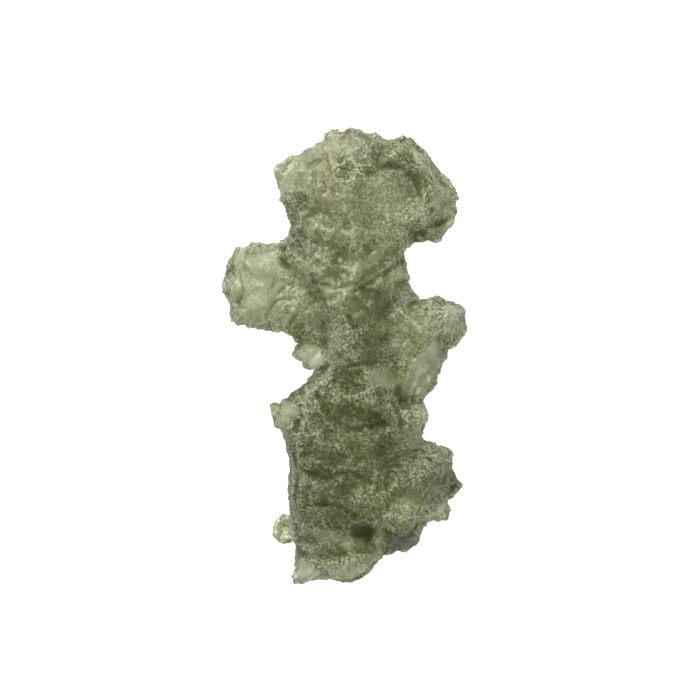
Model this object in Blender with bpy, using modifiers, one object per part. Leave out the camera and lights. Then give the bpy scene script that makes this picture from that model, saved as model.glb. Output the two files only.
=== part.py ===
"""A raw moldavite: one deeply pitted, spiky lump of green natural glass, lying on its broad back.

Run it with blender --background --python part.py, or from Blender's text editor.

The scene is in metres, +Z up. Lengths in this file are in millimetres and are turned into metres where
the mesh is made. The stone's long side runs along Y, its face looks up along Z, and the origin is on the
surface that it lies on, below the middle of its box.

The stone starts as lobes that overlap at different depths. Each lobe is an outline drawn up and down into
a flat-topped dome. Remeshing joins them. The acid's work is then carved into the skin: furrows, bowl-shaped
pits, smooth hollows, and the ledges where one layer of the glass ends above the next. Last, the crests that
carry the stone are worn flat.
"""

import math

import bmesh
import bpy
from mathutils import Matrix, Vector, noise
from mathutils.kdtree import KDTree

MM = 0.001

# Driving dimensions, in millimetres
STONE_LENGTH = 32.0
STONE_THICKNESS = 7.9
RIM_THICKNESS = 0.45
JOIN_VOXEL = 0.2
MOST_TRIANGLES = 9600

# Etching: broad furrows with sharp ridges between them, bowl-shaped pits, and finer pits
FURROW_WIDTH = 3.4
FURROW_DEPTH = 0.55
PIT_SPACING = 2.1
PIT_DEPTH = 0.5
SMALL_PIT_SPACING = 1.0
SMALL_PIT_DEPTH = 0.2

# The skin is first moved out by half the usual depth, so that etching it leaves the stone's size as it was
SKIN_ALLOWANCE = 0.3

# The etching's strength, beside 1 on a level face: in the smooth hollows, and on the upright flanks
HOLLOW_STRENGTH = 0.4
FLANK_STRENGTH = 1.3

# The etching fades out over this distance from a lobe's rim, so that the outline stays as it was drawn
RIM_KEPT = 0.9
RIM_PARTS = 3

# A ledge's ramp is this wide, and its two sides run out into the face over this distance
LEDGE_RAMP = 0.25
LEDGE_REACH = 1.3

# The back is broad and low, so that the stone lies still
BACK_HEIGHT = 1.3
BACK_FLATTENING = 0.5
WORN_DEPTH = 0.18
GROUND_THICKNESS = 4.0

GLASS_COLOUR = (0.16, 0.19, 0.075, 1.0)
GLASS_ROUGHNESS = 0.12
GLASS_IOR = 1.49
GLASS_CLEARNESS = 0.6

# Outlines, in millimetres across and along the stone, from the middle of its length and width. Each runs
# clockwise round the lobe from its lower left, with a point at every spike and in every hollow of the edge.
HEAD = [
    (-3.4, 7.0), (-3.65, 8.6), (-3.7, 9.1), (-3.95, 9.9), (-4.3, 10.55), (-4.35, 11.3), (-4.6, 12.1),
    (-4.8, 12.75), (-4.5, 13.15), (-4.1, 13.4), (-3.8, 13.75), (-3.3, 13.9), (-2.8, 13.9), (-2.5, 14.35),
    (-2.0, 14.55), (-1.6, 14.8), (-1.4, 15.1), (-1.28, 15.55), (-0.9, 15.62), (-0.5, 15.82), (-0.25, 15.6),
    (0.1, 15.5), (0.5, 16.02), (0.9, 15.65), (1.4, 15.38), (1.9, 15.32), (2.35, 15.45), (2.7, 15.1),
    (3.1, 14.9), (3.6, 15.05), (4.1, 15.34), (4.4, 15.1), (4.75, 15.24), (5.0, 14.9), (5.5, 14.55),
    (5.87, 14.1), (5.95, 13.85), (6.5, 13.15), (7.0, 12.65), (7.6, 12.2), (7.75, 11.7), (8.1, 11.25),
    (8.08, 10.9), (7.9, 10.6), (7.97, 10.25), (8.22, 10.0), (7.95, 9.55), (7.7, 9.0), (7.2, 8.5),
    (6.95, 8.0), (6.6, 7.8), (5.85, 7.87), (5.6, 7.7), (5.0, 7.65), (4.55, 7.45), (3.4, 6.6), (0.0, 6.2),
]
NECK = [
    (-2.2, -1.0), (-1.1, 0.0), (-1.2, 1.2), (-2.1, 3.4), (-2.3, 4.3), (-2.9, 5.3), (-3.9, 5.75),
    (-4.7, 6.3), (-5.0, 7.02), (-4.55, 7.55), (-4.3, 7.9), (-3.8, 8.3), (-3.66, 8.8), (-3.5, 9.6),
    (-1.0, 10.6), (2.5, 10.4), (4.2, 8.4), (4.45, 7.3), (4.4, 7.0), (4.5, 6.2), (4.6, 5.7), (4.68, 5.25),
    (4.45, 4.8), (4.0, 4.2), (3.6, 2.6), (3.3, 0.8), (3.1, -1.2), (3.5, -3.0), (0.5, -3.4),
]
LEFT_ARM = [
    (-3.2, 0.8), (-3.4, 1.0), (-3.7, 1.15), (-4.05, 1.45), (-4.25, 1.5), (-4.7, 1.48), (-5.1, 1.6),
    (-5.5, 1.8), (-6.0, 1.78), (-6.5, 1.8), (-7.0, 1.95), (-7.5, 1.95), (-7.75, 2.2), (-7.93, 2.6),
    (-7.85, 3.05), (-7.95, 3.5), (-8.1, 3.9), (-8.3, 4.15), (-8.62, 4.42), (-8.52, 4.9), (-8.43, 5.3),
    (-8.47, 5.8), (-8.22, 6.15), (-8.1, 6.6), (-8.0, 7.05), (-7.7, 7.4), (-7.55, 7.72), (-7.1, 7.72),
    (-6.55, 7.7), (-6.25, 7.92), (-5.6, 7.8), (-5.0, 7.78), (-4.3, 7.75), (-2.6, 7.2), (-1.0, 5.6),
    (-0.4, 3.6), (-0.9, 1.4),
]
NUB = [
    (-3.25, 0.85), (-3.12, 0.6), (-3.45, 0.42), (-3.7, 0.18), (-3.72, -0.08), (-3.55, -0.3),
    (-3.2, -0.43), (-2.8, -0.5), (-2.5, -0.68), (-2.2, -0.95), (-1.4, -1.2), (-0.5, -0.2), (-0.8, 0.9),
    (-1.2, 2.0), (-2.6, 2.2),
]
RIGHT_ARM = [
    (2.6, -2.2), (1.4, 0.0), (1.6, 3.0), (2.6, 4.2), (3.7, 4.2), (4.3, 3.75), (5.45, 3.98),
    (6.0, 4.02), (6.3, 4.17), (6.6, 4.05), (7.0, 3.92), (7.4, 3.72), (7.8, 3.68), (8.3, 3.5),
    (8.52, 3.3), (8.66, 3.0), (8.47, 2.75), (8.42, 2.4), (8.62, 2.2), (8.73, 2.0), (8.5, 1.6), (8.1, 1.0),
    (7.82, 0.7), (7.6, 0.42), (7.3, 0.32), (7.2, 0.08), (7.27, -0.2), (7.02, -0.5), (6.87, -1.0),
    (6.78, -1.4), (6.6, -1.7), (6.53, -2.2), (6.2, -2.5), (5.8, -2.75), (5.55, -3.15), (4.5, -3.4),
]
CHIP = [
    (3.2, 3.2), (3.4, 5.6), (4.66, 5.3), (4.82, 4.92), (4.95, 4.5), (5.35, 4.25), (5.5, 3.9), (5.4, 3.2),
]
FAN = [
    (3.6, -5.0), (3.8, -3.2), (5.45, -3.1), (5.65, -3.5), (5.75, -3.72), (5.97, -3.82), (6.03, -4.12),
    (5.7, -5.0), (5.42, -5.85), (4.4, -6.6),
]
BELLY = [
    (-3.48, -13.1), (-4.0, -11.6), (-4.15, -10.9), (-4.22, -10.5), (-4.02, -9.9), (-3.93, -9.0),
    (-3.88, -8.0), (-3.88, -7.0), (-3.95, -6.3), (-4.2, -5.7), (-4.6, -5.2), (-4.77, -4.8), (-4.92, -4.3),
    (-5.17, -3.9), (-5.27, -3.4), (-5.0, -3.1), (-4.5, -2.8), (-4.0, -2.45), (-3.78, -2.1), (-3.35, -2.0),
    (-3.0, -1.8), (-2.8, -1.6), (-2.42, -1.35), (-2.2, -1.0), (-1.2, -0.2), (0.6, 0.8), (2.8, 0.2),
    (4.0, -2.2), (4.4, -4.0), (4.6, -6.2), (4.9, -9.0), (4.4, -12.0), (2.9, -13.8), (0.5, -14.0),
]
RIGHT_LOBE = [
    (2.82, -13.95), (1.5, -12.5), (1.4, -9.5), (2.4, -6.9), (4.0, -5.95), (5.42, -5.88), (6.0, -5.84),
    (6.3, -5.95), (6.8, -6.15), (7.1, -6.25), (7.3, -6.25), (7.62, -6.4), (7.66, -7.0), (7.73, -7.3),
    (7.68, -7.7), (7.9, -8.2), (8.15, -8.6), (8.38, -8.95), (8.22, -9.35), (7.8, -9.62), (7.4, -9.9),
    (6.8, -10.5), (6.3, -11.05), (5.8, -11.6), (5.68, -11.8), (5.55, -12.2), (5.4, -12.6), (5.12, -13.2),
    (4.9, -13.27), (4.65, -13.45), (4.4, -13.73), (4.1, -13.62), (3.6, -13.65), (3.15, -13.78),
]
SPUR = [
    (5.0, -11.4), (5.2, -9.4), (7.38, -9.7), (7.45, -10.4), (7.57, -10.9), (7.5, -11.25), (7.52, -11.5),
    (7.4, -11.6), (6.5, -11.64), (5.75, -11.7),
]
FIN = [
    (-2.6, -13.0), (-3.6, -13.15), (-4.0, -13.22), (-4.4, -13.27), (-4.7, -12.97), (-4.98, -12.65),
    (-5.03, -12.3), (-5.02, -11.68), (-4.62, -11.3), (-4.2, -10.95), (-2.6, -11.0),
]
TAB = [
    (-3.72, -15.72), (-3.62, -15.2), (-3.57, -14.7), (-3.47, -14.0), (-3.45, -13.1), (-3.0, -12.0),
    (0.0, -11.6), (2.4, -12.2), (2.85, -13.95), (2.6, -14.15), (2.4, -14.5), (2.0, -15.0), (1.7, -15.25),
    (1.43, -15.62), (1.1, -15.67), (0.6, -15.8), (0.1, -15.97), (-0.6, -15.9), (-1.2, -15.8),
    (-2.0, -15.75), (-2.8, -15.85), (-3.15, -15.98), (-3.4, -15.92),
]

SPINE = [
    (-3.4, -11.0), (-3.3, -8.0), (-3.6, -4.8), (-3.4, -3.2), (-1.6, -1.4), (-0.9, 1.0), (-1.7, 3.6),
    (-2.8, 6.3), (-3.2, 9.0), (-3.4, 12.0), (-2.2, 13.4), (0.5, 14.4), (3.8, 13.9), (5.6, 12.4),
    (6.2, 10.8), (5.4, 9.2), (3.9, 8.2), (3.9, 6.0), (3.7, 3.2), (4.2, 0.6), (4.4, -2.2), (4.4, -5.6),
    (5.6, -7.6), (5.2, -10.4), (3.4, -12.6), (0.6, -13.4), (-2.2, -13.2),
]

# Each lobe: its outline, the point that its rings close in on, the height of its rim above the surface
# that the stone lies on, how far it rises above and falls below the rim, and its slope across and along.
LOBES = {
    "spine": (SPINE, (0.7, 0.5), 4.0, 3.2, 3.4, (0.0, 0.0)),
    "head": (HEAD, (1.6, 11.2), 3.9, 2.6, 3.3, (-0.04, 0.02)),
    "neck": (NECK, (0.8, 4.2), 4.0, 3.1, 3.5, (0.0, 0.0)),
    "left arm": (LEFT_ARM, (-4.6, 4.6), 2.9, 1.8, 1.9, (0.08, 0.0)),
    "nub": (NUB, (-2.2, 0.3), 2.2, 0.7, 0.9, (0.1, 0.0)),
    "right arm": (RIGHT_ARM, (4.8, 1.2), 4.0, 2.2, 2.4, (0.03, 0.0)),
    "chip": (CHIP, (4.3, 4.0), 2.5, 0.8, 0.9, (0.0, 0.0)),
    "fan": (FAN, (4.8, -4.6), 4.2, 1.3, 1.7, (0.0, 0.0)),
    "belly": (BELLY, (0.2, -7.0), 3.9, 3.4, 3.5, (0.0, 0.0)),
    "right lobe": (RIGHT_LOBE, (4.6, -9.6), 4.1, 2.5, 3.1, (0.02, 0.02)),
    "spur": (SPUR, (6.0, -10.9), 2.2, 0.5, 0.6, (0.0, 0.0)),
    "fin": (FIN, (-3.7, -12.2), 2.2, 0.5, 0.6, (0.0, 0.0)),
    "tab": (TAB, (-0.4, -14.0), 3.3, 1.9, 2.4, (0.0, 0.05)),
}

# Round each lobe runs a thin flake of edge: the size of the dome inside it, and how far the flake thickens
FLAKE_SHARE = 0.9
FLAKE_RISE = 0.3

# The edge waves up and down: how far, and how long its waves are. Below the edge the waves die away.
EDGE_WAVE = 0.7
EDGE_WAVELENGTH = 3.1

# A dome's rings: how many, how closely they crowd at the rim, and the size of the last one. A dome is the
# flatter on top the squarer it is, and the steeper at its rim the less round it is.
DOME_RINGS = 7
RING_CROWDING = 1.4
FACE_SQUARENESS = 2.8
FACE_ROUNDNESS = 0.8
BACK_SQUARENESS = 2.5
BACK_ROUNDNESS = 0.8
SMALLEST_RING = 0.12

# Ledges of the face: the points that each runs through, and how far it steps. Seen from above, the side to
# the left of the way that the points run is the higher one.
LEDGES = {
    "edge of the neck": ([(-4.7, 7.3), (-3.3, 5.7), (-2.9, 4.2), (-2.0, 2.6), (-1.5, 1.2)], 0.8),
    "wall of the dish": ([(1.2, 12.8), (3.2, 13.4), (4.4, 13.2), (5.5, 12.5), (5.8, 11.0)], 0.7),
    "outer band of the head": ([(7.2, 11.4), (6.1, 12.9), (4.7, 14.2)], 0.5),
    "lower step of the head": ([(5.0, 8.5), (6.4, 9.2), (7.7, 9.8)], 0.45),
    "long band of the neck": ([(0.2, 5.0), (1.8, 6.0), (4.2, 7.2)], 0.45),
    "tip of the right arm": ([(7.0, 1.0), (7.3, 2.4), (6.8, 3.8)], 0.4),
    "border of the long scar": ([(4.3, -2.2), (5.0, -0.6), (6.1, 0.9)], 0.4),
    "foot of the right arm": ([(0.6, -3.6), (2.0, -3.2), (3.6, -2.7), (5.4, -3.0)], 0.45),
    "side of the fan": ([(4.9, -5.6), (4.5, -4.6), (4.1, -3.5)], 0.4),
    "bright ridge": ([(7.0, -7.2), (6.2, -6.6), (5.3, -6.0), (4.1, -6.2), (2.9, -6.8)], 0.5),
    "ledge of the tip": ([(5.2, -12.6), (5.7, -11.4), (6.9, -10.3), (8.1, -9.4)], 0.55),
    "step to the tab": ([(-3.4, -13.0), (-2.0, -13.4), (-0.4, -13.5), (1.0, -14.0), (2.4, -13.9)], 0.7),
}

# Smooth hollows where the etching went deep: the middle, the half length and half width, the turn from
# +X in degrees, and the depth. Those of the face are cut down from above, those of the back up from below.
# A hollow deeper than the least one is smooth, and its floor is the flatter the less round it is.
LEAST_HOLLOW = 0.1
HOLLOW_ROUNDNESS = 0.75
FACE_HOLLOWS = {
    "dish of the head": (3.1, 10.6, 2.9, 2.2, 25, 1.15),
    "crescent of the head": (-1.9, 13.1, 0.9, 0.5, 20, 0.5),
    "crescent under the neck": (-3.65, 6.2, 0.85, 0.5, -40, 0.55),
    "hollow of the left arm": (-6.4, 4.7, 1.7, 1.4, 80, 0.55),
    "low hollow of the left arm": (-4.5, 2.5, 0.8, 0.7, 0, 0.4),
    "long scar of the right arm": (5.6, -0.9, 1.9, 0.85, 62, 0.8),
    "short scar of the right arm": (3.1, -1.5, 1.4, 0.7, 5, 0.6),
    "tip of the right arm": (7.8, 3.0, 0.8, 0.6, -50, 0.4),
    "upper facet of the shoulder": (-3.8, -3.35, 0.7, 0.5, 10, 0.5),
    "lower facet of the shoulder": (-4.2, -4.45, 0.75, 0.5, -35, 0.5),
    "hollow of the right lobe": (4.3, -9.9, 1.5, 1.0, 10, 0.8),
    "bubble": (1.5, -12.5, 1.2, 1.1, 0, 1.6),
    "smooth corner of the lobe": (4.0, -12.9, 1.15, 0.8, 5, 0.7),
    "corner of the tab": (-2.9, -15.0, 0.9, 0.8, 0, 0.55),
    "lip of the tab": (1.5, -14.4, 0.9, 0.7, 35, 0.6),
}
BACK_HOLLOWS = {
    "back of the head": (4.6, 11.8, 2.2, 1.6, -20, 1.0),
    "back of the neck": (-1.2, 6.2, 2.0, 1.2, 70, 0.9),
    "back of the right arm": (6.2, 1.2, 1.7, 1.1, 50, 0.7),
    "back of the belly": (-1.8, -5.2, 1.8, 1.1, -60, 0.9),
    "back of the right lobe": (5.6, -8.6, 1.6, 1.2, 30, 0.8),
    "back of the tab": (-0.6, -14.2, 1.9, 1.0, 5, 0.7),
}


def clear_scene():
    for item in list(bpy.data.objects):
        bpy.data.objects.remove(item, do_unlink=True)


def waved(x, y, z):
    """The height z above a spot, moved as the waving edge moves there."""
    wave = noise.noise(Vector((x, y, 0.0)) / EDGE_WAVELENGTH)
    return z + EDGE_WAVE * wave * min(1.0, max(0.0, z / BACK_HEIGHT - 1.0))


def add_lobe(stone, outline, middle, level, rise, fall, slope):
    """Draws an outline up and down into a flat-topped dome with a thin, sharp rim, inside the mesh stone."""
    centre = Vector((middle[0], middle[1], 0.0))
    rim = [stone.verts.new((x, y, level - RIM_THICKNESS / 2)) for x, y in outline]
    start = stone.faces.new(rim)
    made = list(rim)

    def draw_out(face, share, height):
        drawn = bmesh.ops.extrude_face_region(stone, geom=[face])["geom"]
        points = [item for item in drawn if isinstance(item, bmesh.types.BMVert)]
        for point in points:
            flat = Vector((point.co.x, point.co.y, 0.0))
            point.co = centre + (flat - centre) * share + Vector((0.0, 0.0, height))
        made.extend(points)
        return next(item for item in drawn if isinstance(item, bmesh.types.BMFace))

    def draw_dome(face, base, reach, squareness, roundness):
        left = 1.0
        for ring in range(1, DOME_RINGS + 1):
            size = 1.0 - (1.0 - SMALLEST_RING) * (ring / DOME_RINGS) ** RING_CROWDING
            height = base + reach * (1.0 - size**squareness) ** roundness
            face = draw_out(face, size / left, height)
            left = size

    half = RIM_THICKNESS / 2
    thick = half + FLAKE_RISE
    over = draw_out(start, 1.0, level + half)
    over = draw_out(over, FLAKE_SHARE, level + thick)
    under = draw_out(start, FLAKE_SHARE, level - thick)
    draw_dome(over, level + thick, rise - FLAKE_RISE, FACE_SQUARENESS, FACE_ROUNDNESS)
    draw_dome(under, level - thick, FLAKE_RISE - fall, BACK_SQUARENESS, BACK_ROUNDNESS)
    for point in made:
        point.co.z += slope[0] * (point.co.x - centre.x) + slope[1] * (point.co.y - centre.y)
        point.co.z = waved(*point.co)


def joined_lobes():
    """One closed mesh round all the lobes, in metres."""
    stone = bmesh.new()
    for lobe in LOBES.values():
        add_lobe(stone, *lobe)
    bmesh.ops.recalc_face_normals(stone, faces=stone.faces)
    bmesh.ops.scale(stone, vec=(MM, MM, MM), verts=stone.verts)
    mesh = bpy.data.meshes.new("lobes")
    stone.to_mesh(mesh)
    stone.free()
    lobes = bpy.data.objects.new("lobes", mesh)
    bpy.context.scene.collection.objects.link(lobes)
    remesh = lobes.modifiers.new("join the lobes", "REMESH")
    remesh.mode = "VOXEL"
    remesh.voxel_size = JOIN_VOXEL * MM
    smooth = lobes.modifiers.new("soften the joins", "SMOOTH")
    smooth.factor = 0.5
    smooth.iterations = 1
    return as_plain_mesh(lobes)


def as_plain_mesh(item):
    """The item's mesh with its modifiers in it. The item itself is removed."""
    graph = bpy.context.evaluated_depsgraph_get()
    mesh = bpy.data.meshes.new_from_object(item.evaluated_get(graph))
    bpy.data.objects.remove(item, do_unlink=True)
    return mesh


def bowls(place, spacing):
    """How deep a point lies in a field of bowl-shaped pits: 1 in the middle of a pit, 0 on a crest."""
    nearest, second = noise.voronoi(place / spacing)[0][:2]
    share = nearest / max(nearest + second, 1e-6) * 2.0
    return 1.0 - share * share


def furrows(place):
    """How deep a point lies in the furrows: 0 on the sharp ridges between them, 1 in the deepest."""
    return min(1.0, 2.0 * abs(noise.noise(place / FURROW_WIDTH + Vector((3.7, 1.3, 8.1)))))


def etched_depth(place):
    """How far the acid ate into the stone at a place, in millimetres."""
    aside = Vector((5.2, 9.4, 2.6))
    return (
        FURROW_DEPTH * furrows(place)
        + PIT_DEPTH * bowls(place, PIT_SPACING)
        + SMALL_PIT_DEPTH * bowls(place + aside, SMALL_PIT_SPACING)
        - SKIN_ALLOWANCE
    )


def hollow_depth(place, hollows):
    """The depth of the deepest hollow over a place, in millimetres."""
    deepest = 0.0
    for x, y, half_length, half_width, turn, depth in hollows.values():
        angle = math.radians(turn)
        across, along = place.x - x, place.y - y
        u = (across * math.cos(angle) + along * math.sin(angle)) / half_length
        v = (along * math.cos(angle) - across * math.sin(angle)) / half_width
        inside = 1.0 - u * u - v * v
        if inside > 0.0:
            deepest = max(deepest, depth * inside**HOLLOW_ROUNDNESS)
    return deepest


def beside_line(place, points):
    """The distance of a place from a line through the points, below 0 to the right of the way they run."""
    spot = Vector((place.x, place.y))
    nearest, side = math.inf, 1.0
    for start, end in zip(points, points[1:]):
        start, end = Vector(start), Vector(end)
        step = end - start
        share = min(1.0, max(0.0, (spot - start).dot(step) / step.length_squared))
        away = spot - (start + step * share)
        if away.length < nearest:
            nearest = away.length
            side = 1.0 if step.cross(away) > 0.0 else -1.0
    return nearest * side


def ledge_height(place):
    """How far the ledges raise a place of the face, in millimetres. Below 0 it is lowered."""
    height = 0.0
    for points, step in LEDGES.values():
        beside = beside_line(place, points)
        ramp = max(-1.0, min(1.0, beside / LEDGE_RAMP))
        height += step / 2 * ramp * max(0.0, 1.0 - abs(beside) / LEDGE_REACH)
    return height


def rims():
    """A lookup of points along the lobes' rims, in millimetres."""
    points = []
    for outline, middle, level, _, _, slope in LOBES.values():
        for (x0, y0), (x1, y1) in zip(outline, outline[1:] + outline[:1]):
            for part in range(RIM_PARTS):
                share = part / RIM_PARTS
                x, y = x0 + (x1 - x0) * share, y0 + (y1 - y0) * share
                tilt = slope[0] * (x - middle[0]) + slope[1] * (y - middle[1])
                points.append((x, y, waved(x, y, level + tilt)))
    tree = KDTree(len(points))
    for number, point in enumerate(points):
        tree.insert(point, number)
    tree.balance()
    return tree


def etch(mesh):
    """Carves the pits, hollows and ledges into the skin, all but the sharp rim, and flattens the back."""
    skin = [(point, point.co / MM, point.normal.copy()) for point in mesh.vertices]
    edge = rims()
    for point, place, normal in skin:
        level = abs(normal.z)
        inland = min(1.0, edge.find(place)[2] / RIM_KEPT)
        facing = FACE_HOLLOWS if normal.z > 0 else BACK_HOLLOWS
        hollow = hollow_depth(place, facing) * min(1.0, 2.0 * level)
        depth = etched_depth(place) * (HOLLOW_STRENGTH if hollow > LEAST_HOLLOW else 1.0)
        depth *= (FLANK_STRENGTH + (1.0 - FLANK_STRENGTH) * level) * inland
        if normal.z > 0:
            hollow -= ledge_height(place) * level * inland
        place = place - normal * depth
        place.z -= math.copysign(hollow, normal.z)
        if place.z < BACK_HEIGHT:
            place.z = BACK_HEIGHT - (BACK_HEIGHT - place.z) * BACK_FLATTENING
        point.co = place * MM


def thinned_out(mesh):
    """The mesh in triangles, few enough to keep, close together only where the form turns."""
    item = bpy.data.objects.new("thinning", mesh)
    bpy.context.scene.collection.objects.link(item)
    triangles = sum(len(face.vertices) - 2 for face in mesh.polygons)
    thin = item.modifiers.new("thin out", "DECIMATE")
    thin.ratio = min(1.0, MOST_TRIANGLES / triangles)
    thin.use_collapse_triangulate = True
    return as_plain_mesh(item)


def placed(mesh):
    """Sizes the mesh and stands it so that the origin is on the surface, below the middle of its box."""
    lows = Vector([min(point.co[axis] for point in mesh.vertices) for axis in range(3)])
    highs = Vector([max(point.co[axis] for point in mesh.vertices) for axis in range(3)])
    floor = lows.z + WORN_DEPTH * MM
    grow = STONE_LENGTH * MM / (highs.y - lows.y)
    lift = STONE_THICKNESS * MM / (highs.z - floor)
    middle = Vector(((lows.x + highs.x) / 2, (lows.y + highs.y) / 2, floor))
    mesh.transform(Matrix.Diagonal((grow, grow, lift, 1.0)) @ Matrix.Translation(-middle))
    return mesh


def ground_block():
    """The block below the surface, which wears the lowest crests flat."""
    block = bmesh.new()
    bmesh.ops.create_cube(block, size=1.0)
    size = Vector((1.5 * STONE_LENGTH, 1.5 * STONE_LENGTH, GROUND_THICKNESS)) * MM
    bmesh.ops.scale(block, vec=size, verts=block.verts)
    bmesh.ops.translate(block, vec=(0.0, 0.0, -size.z / 2), verts=block.verts)
    mesh = bpy.data.meshes.new("ground")
    block.to_mesh(mesh)
    block.free()
    ground = bpy.data.objects.new("ground", mesh)
    ground.hide_render = True
    ground.display_type = "WIRE"
    cutters = bpy.data.collections.new("Cutters")
    bpy.context.scene.collection.children.link(cutters)
    cutters.objects.link(ground)
    return ground


def glass_material():
    material = bpy.data.materials.new("moldavite glass")
    material.use_nodes = True
    shader = material.node_tree.nodes["Principled BSDF"]
    shader.inputs["Base Color"].default_value = GLASS_COLOUR
    shader.inputs["Roughness"].default_value = GLASS_ROUGHNESS
    shader.inputs["Metallic"].default_value = 0.0
    shader.inputs["IOR"].default_value = GLASS_IOR
    shader.inputs["Transmission Weight"].default_value = GLASS_CLEARNESS
    return material


def build():
    clear_scene()
    mesh = joined_lobes()
    etch(mesh)
    mesh = placed(thinned_out(mesh))
    mesh.name = "moldavite"
    mesh.materials.clear()
    mesh.materials.append(glass_material())
    collection = bpy.data.collections.new("Moldavite")
    bpy.context.scene.collection.children.link(collection)
    stone = bpy.data.objects.new("moldavite", mesh)
    collection.objects.link(stone)
    wear = stone.modifiers.new("wear the lowest crests flat", "BOOLEAN")
    wear.operation = "DIFFERENCE"
    wear.solver = "EXACT"
    wear.object = ground_block()


build()
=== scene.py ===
import math

import bpy
import numpy as np
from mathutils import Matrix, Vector, noise


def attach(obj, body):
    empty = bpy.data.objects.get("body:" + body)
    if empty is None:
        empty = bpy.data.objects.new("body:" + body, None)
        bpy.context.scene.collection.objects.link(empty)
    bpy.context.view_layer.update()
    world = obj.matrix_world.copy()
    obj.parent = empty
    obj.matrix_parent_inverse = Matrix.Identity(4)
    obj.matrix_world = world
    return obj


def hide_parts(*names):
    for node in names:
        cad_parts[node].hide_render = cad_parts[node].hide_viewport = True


bl_info = {
    "name": "Moldavite",
    "version": (1, 0, 0),
    "blender": (4, 5, 0),
    "location": "3D View > Sidebar > Moldavite",
    "description": "Models a raw, deeply etched moldavite and the pale stage that it lies on",
    "category": "Object",
}

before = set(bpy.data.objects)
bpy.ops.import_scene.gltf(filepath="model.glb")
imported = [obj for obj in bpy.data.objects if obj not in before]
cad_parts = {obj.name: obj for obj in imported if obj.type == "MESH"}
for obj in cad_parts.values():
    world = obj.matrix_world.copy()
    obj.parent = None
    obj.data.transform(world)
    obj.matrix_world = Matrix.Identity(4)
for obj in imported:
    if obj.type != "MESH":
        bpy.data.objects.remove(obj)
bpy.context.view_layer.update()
STONE = "moldavite"

# One millimetre, in metres, the distance within which the solid's points count as one, and the gap between
# the stone and the floor
MM = 0.001
MERGE_DISTANCE = 0.001 * MM
FLOOR_GAP = 0.02 * MM

# The camera's sensor, in millimetres, and the least number that anything is divided by
SENSOR_WIDTH = 36.0
TINY = 1e-6

# Places on the face, in millimetres from the middle of the stone's box: across it, then along it towards
# its head. An ellipse is its middle, its half length and half width, and its turn from +X in degrees.

# Where the acid left the glass smooth, or a bubble broke open: each with how smooth and how pale it is. The
# paleness lightens the skin's colour; a few entries are painted highlights or painted light, as marked
SMOOTH_PLACES = [
    (3.3, 11.0, 2.6, 1.9, 10, 0.25, 0.8),
    (-3.2, 13.0, 2.4, 2.2, 35, 0.55, 1.0),
    (1.0, 14.5, 2.6, 1.2, 0, 0.3, 0.6),
    (-5.9, 5.0, 2.7, 3.0, 0, 0.55, 1.35),
    (-3.0, 4.2, 3.2, 1.5, -62, 0.25, 1.0),
    # Painted light on the lower edge of the left arm, which faces away from the key light
    (-5.6, 2.6, 2.4, 0.8, -8, 0.3, 1.3),
    (-2.0, 1.8, 1.7, 0.9, -60, 0.2, 1.0),
    (0.6, 5.6, 4.8, 3.4, 30, 0.4, 0.15),
    (4.9, 1.7, 2.6, 2.4, 0, 0.3, 0.7),
    (-0.4, 9.6, 3.8, 2.0, 10, 0.4, 0.3),
    (6.2, 13.0, 2.6, 0.6, -45, 0.3, 0.8),
    (-2.7, -0.1, 1.6, 1.2, 0, 0.5, 2.8),
    (5.5, -1.0, 2.5, 1.05, 62, 0.6, 2.8),
    (2.9, -1.5, 1.5, 0.6, 5, 0.8, 1.0),
    (-4.2, -3.9, 1.0, 1.1, -20, 0.6, 1.2),
    (4.3, -9.9, 1.6, 0.9, 25, 0.3, 1.1),
    (1.4, -12.4, 1.1, 1.0, 0, 0.95, 0.0),
    # Painted light on the lit inner wall beside the bubble
    (2.5, -12.8, 0.35, 1.0, -5, 0.7, 2.0),
    (4.0, -12.8, 1.1, 0.8, 5, 0.3, 0.0),
    (-4.6, -12.3, 1.1, 1.6, 0, 0.7, 0.4),
    (7.0, -11.0, 1.0, 0.9, 0, 0.4, 1.5),
    # Painted highlight: the white glinting corner of the tab
    (-2.7, -15.0, 1.2, 0.9, 0, 0.5, 2.8),
    (6.4, -3.4, 0.9, 1.6, -20, 0.4, 0.6),
    (7.7, 2.7, 1.1, 1.4, 0, 0.4, 1.2),
    # Painted highlight: the white patch at the corner of the right arm
    (8.0, 3.3, 0.4, 0.5, 0, 0.5, 2.5),
    (3.6, 5.0, 0.9, 1.8, 0, 0.3, 0.6),
    (2.2, 6.9, 2.9, 0.4, 38, 0.1, 0.9),
    (6.9, 10.8, 2.4, 0.9, -75, 0.35, 0.8),
    (5.0, -6.0, 1.0, 1.1, 0, 0.1, 1.4),
    (4.4, 4.1, 0.7, 0.7, 0, 0.1, 1.2),
    # Painted highlight along the ridge of the tab, then a whitish painted glint beside the bubble
    (-0.4, -12.6, 2.5, 0.6, -13, 0.2, 1.2),
    (2.3, -13.8, 0.8, 0.4, 30, 0.3, 2.0),
    (-0.3, -14.9, 2.8, 0.8, 5, 0.2, 1.2),
]
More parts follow.
